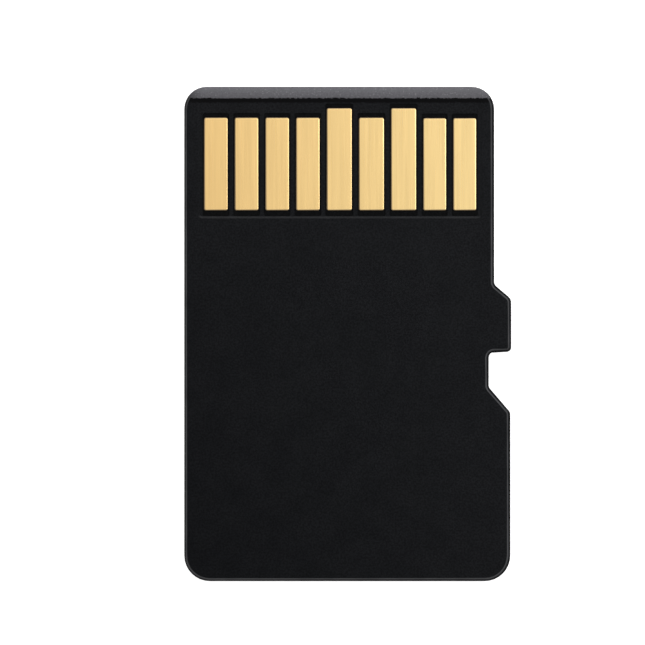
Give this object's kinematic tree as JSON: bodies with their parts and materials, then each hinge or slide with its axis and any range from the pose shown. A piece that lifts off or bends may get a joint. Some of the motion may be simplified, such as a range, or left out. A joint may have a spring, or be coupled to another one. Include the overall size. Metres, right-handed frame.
{
  "type": "microsd memory card",
  "caption": "Thin black memory card with rounded corners, a notched side, a row of gold contacts, a lead-in bevel and a finger lip.",
  "frame": {"origin": "middle of the card's bounding box in X and Y, at the crest of the finger lip, the lowest point", "axes": "+Y towards the contact end, which enters the slot first; +X towards the side with the latch notch; +Z out of the contact face"},
  "size_m": [0.01, 0.015, 0.001],
  "materials": {
    "moulding": "black epoxy moulding compound, fine matte grain",
    "laminate": "black glass-fibre laminate",
    "contact_side_mask": "black solder mask, fine matte grain",
    "inner_side_mask": "dark green solder mask",
    "copper": "plated copper",
    "gold": "hard gold plating, faint lengthwise brushing",
    "silicon": "thinned silicon with a passivated face",
    "die_film": "die-attach adhesive film",
    "bond_wire": "fine gold wire",
    "capacitor_ceramic": "tan sintered ceramic",
    "tin": "tin-plated terminals"
  },
  "bodies": {
    "root": {"moulded_body": "moulding", "board_core": "laminate", "contact_mask": "contact_side_mask", "inner_mask": "inner_side_mask", "contact_vias": "copper", "inner_traces": "copper", "contact_1": "gold", "contact_2": "gold", "contact_3": "gold", "contact_4": "gold", "contact_5": "gold", "contact_6": "gold", "contact_7": "gold", "contact_8": "gold", "contact_9": "gold", "controller_chip": "silicon", "controller_film": "die_film", "controller_wires": "bond_wire", "memory_wires": "bond_wire", "memory_chip_1": "silicon", "memory_chip_2": "silicon", "memory_chip_3": "silicon", "memory_chip_4": "silicon", "memory_film_1": "die_film", "memory_film_2": "die_film", "memory_film_3": "die_film", "memory_film_4": "die_film", "capacitor_1": "capacitor_ceramic", "capacitor_2": "capacitor_ceramic", "capacitor_3": "capacitor_ceramic", "capacitor_terminals": "tin"}
  },
  "joints": []
}
